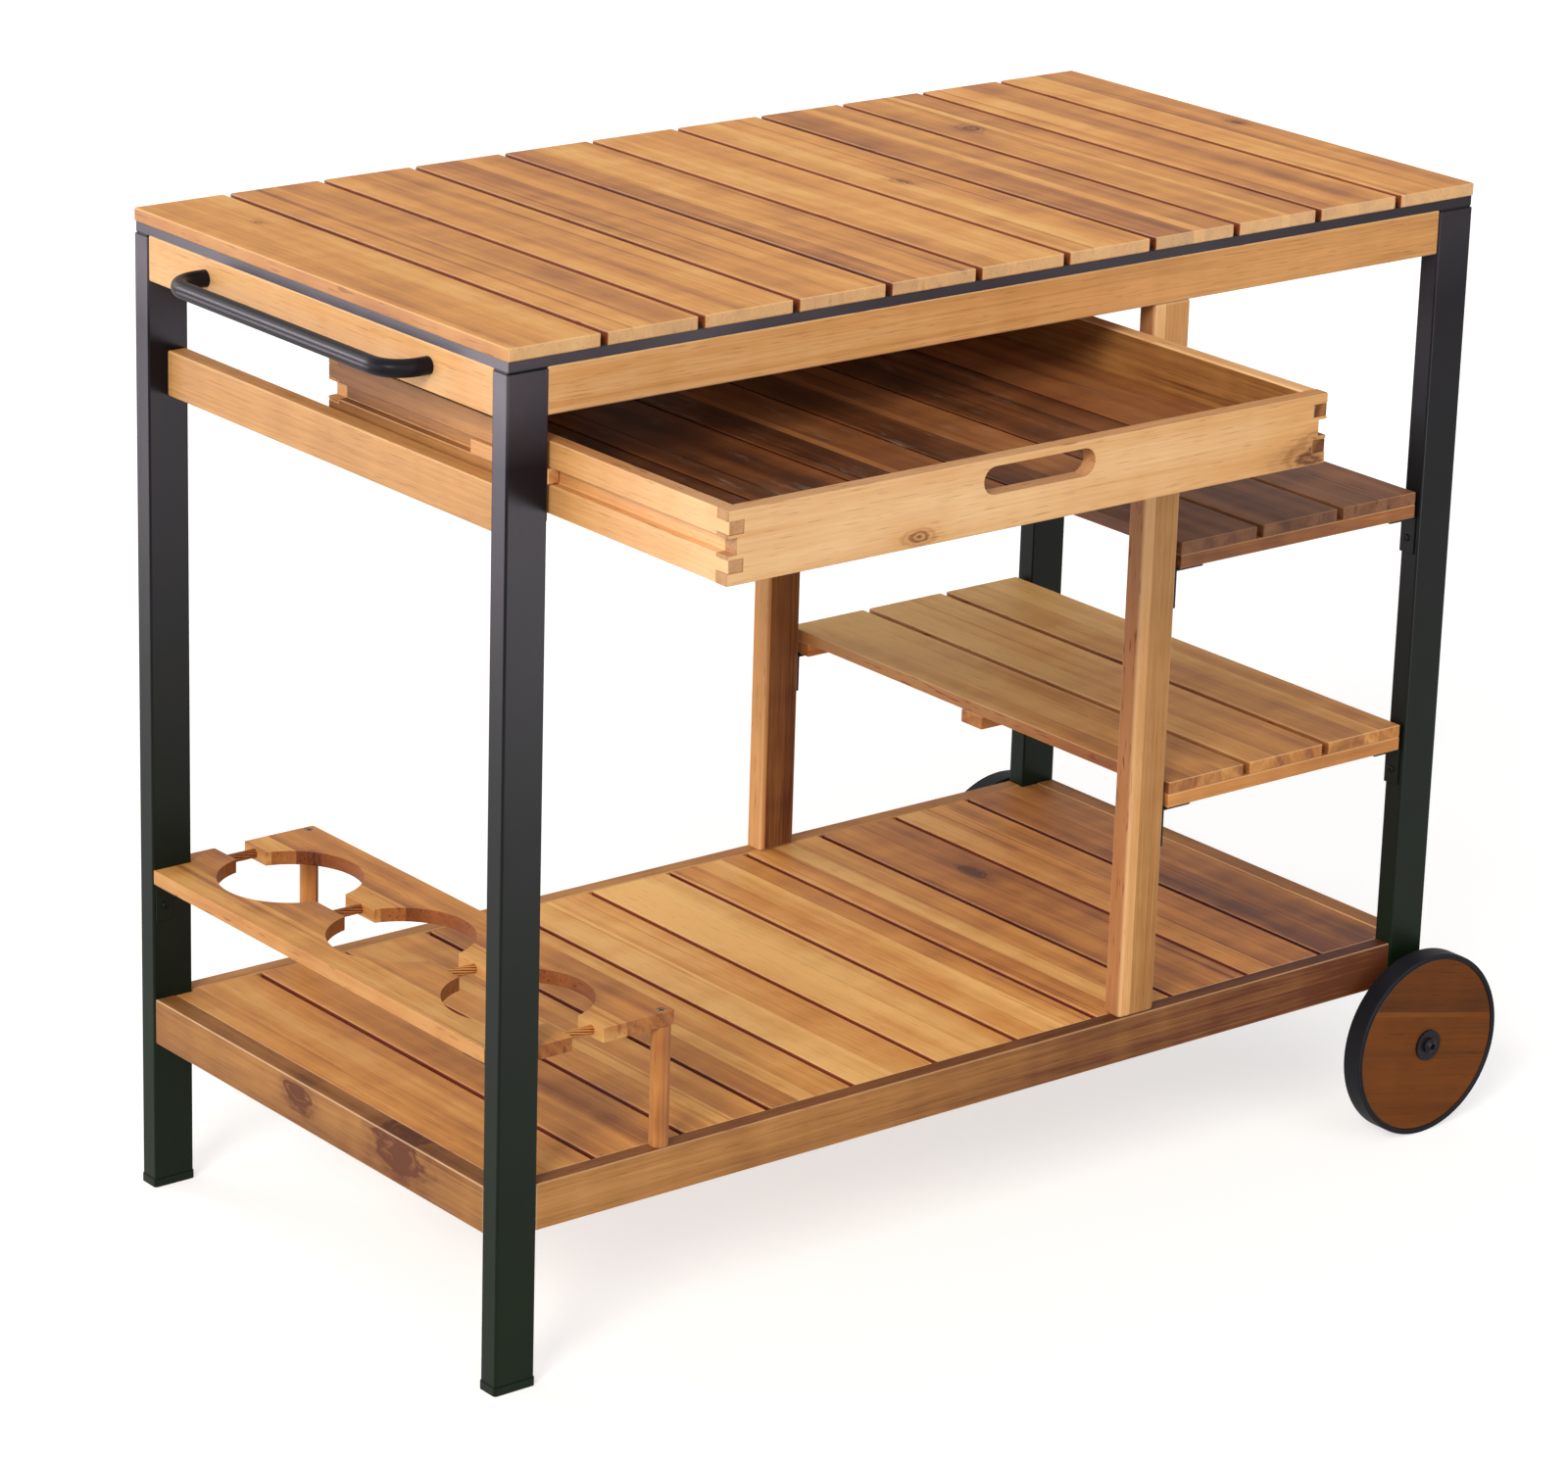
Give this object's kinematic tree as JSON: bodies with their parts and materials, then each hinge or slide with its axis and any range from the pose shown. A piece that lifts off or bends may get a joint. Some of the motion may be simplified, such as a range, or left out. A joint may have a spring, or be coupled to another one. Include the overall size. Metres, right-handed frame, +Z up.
{
  "type": "bar cart",
  "caption": "Outdoor bar cart with a slatted wooden top on black steel legs, a pull-out tray, side shelves, a bottle holder, a push handle on the left and wheels on the right.",
  "frame": {"origin": "on the floor, under the middle of the whole cart's bounding box with the tray standing out at the front as it does at rest", "axes": "+X along the cart from the push handle towards the wheels, +Y from the front, where the tray comes out, to the back, +Z up"},
  "size_m": [1.1058, 0.7722, 0.85],
  "materials": {
    "acacia_top": "oiled, light honey-brown boards with streaks",
    "acacia_frame": "oiled, honey-brown rails, posts and panels",
    "acacia_floor": "oiled, darker brown streaked slats",
    "acacia_shelf": "oiled, dark red-brown slats",
    "black_steel": "satin black powder coat",
    "black_plastic": "matt black",
    "tyre_rubber": "matt black",
    "zinc_steel": "zinc-plated"
  },
  "bodies": {
    "root": {"worktop_slat_01": "acacia_top", "worktop_slat_02": "acacia_top", "worktop_slat_03": "acacia_top", "worktop_slat_04": "acacia_top", "worktop_slat_05": "acacia_top", "worktop_slat_06": "acacia_top", "worktop_slat_07": "acacia_top", "worktop_slat_08": "acacia_top", "worktop_slat_09": "acacia_top", "worktop_slat_10": "acacia_top", "worktop_slat_11": "acacia_top", "bottom_shelf_slats": "acacia_top", "middle_shelf_slats": "acacia_top", "apron_front": "acacia_frame", "apron_back": "acacia_frame", "apron_left": "acacia_frame", "apron_right": "acacia_frame", "shelf_rail_front": "acacia_frame", "shelf_rail_back": "acacia_frame", "shelf_rail_left": "acacia_frame", "shelf_rail_right": "acacia_frame", "bottom_shelf_bearers": "acacia_frame", "post_front": "acacia_frame", "post_back": "acacia_frame", "tray_rail_left": "acacia_frame", "tray_rail_right": "acacia_frame", "tray_ledges": "acacia_frame", "tray_guides": "acacia_frame", "holder_board_left": "acacia_frame", "holder_board_right": "acacia_frame", "holder_bridge_dowels": "acacia_frame", "holder_support_dowels": "acacia_frame", "upper_shelf_slats": "acacia_shelf", "side_shelf_battens": "acacia_shelf", "leg_front_left": "black_steel", "leg_back_left": "black_steel", "leg_front_right": "black_steel", "leg_back_right": "black_steel", "top_frame": "black_steel", "angle_brackets": "black_steel", "push_handle": "black_steel", "axle_bolts": "black_steel", "axle_washers": "black_steel", "leg_bottom_plugs": "black_plastic", "leg_top_caps": "black_plastic", "axle_spacers": "black_plastic", "holder_screws": "zinc_steel", "axle_nuts": "zinc_steel"},
    "tray": {"tray_panel_front": "acacia_frame", "tray_panel_back": "acacia_frame", "tray_panel_left": "acacia_frame", "tray_panel_right": "acacia_frame", "tray_floor_slats": "acacia_floor", "tray_floor_battens": "acacia_floor"},
    "wheel_front": {"wheel_front_disc": "acacia_shelf", "wheel_front_tyre": "tyre_rubber", "wheel_front_bush": "black_plastic"},
    "wheel_back": {"wheel_back_disc": "acacia_shelf", "wheel_back_tyre": "tyre_rubber", "wheel_back_bush": "black_plastic"}
  },
  "joints": [
    {"name": "tray_slide", "type": "slide", "parent": "root", "child": "tray", "axis": [0, -1, 0], "range_m": [-0.2155, 0.196]},
    {"name": "wheel_front_spin", "type": "hinge", "parent": "root", "child": "wheel_front", "pos_m": [0.46937, -0.196, 0.0835], "axis": [0, 1, 0], "continuous": true},
    {"name": "wheel_back_spin", "type": "hinge", "parent": "root", "child": "wheel_back", "pos_m": [0.46937, 0.3698, 0.0835], "axis": [0, 1, 0], "continuous": true}
  ]
}
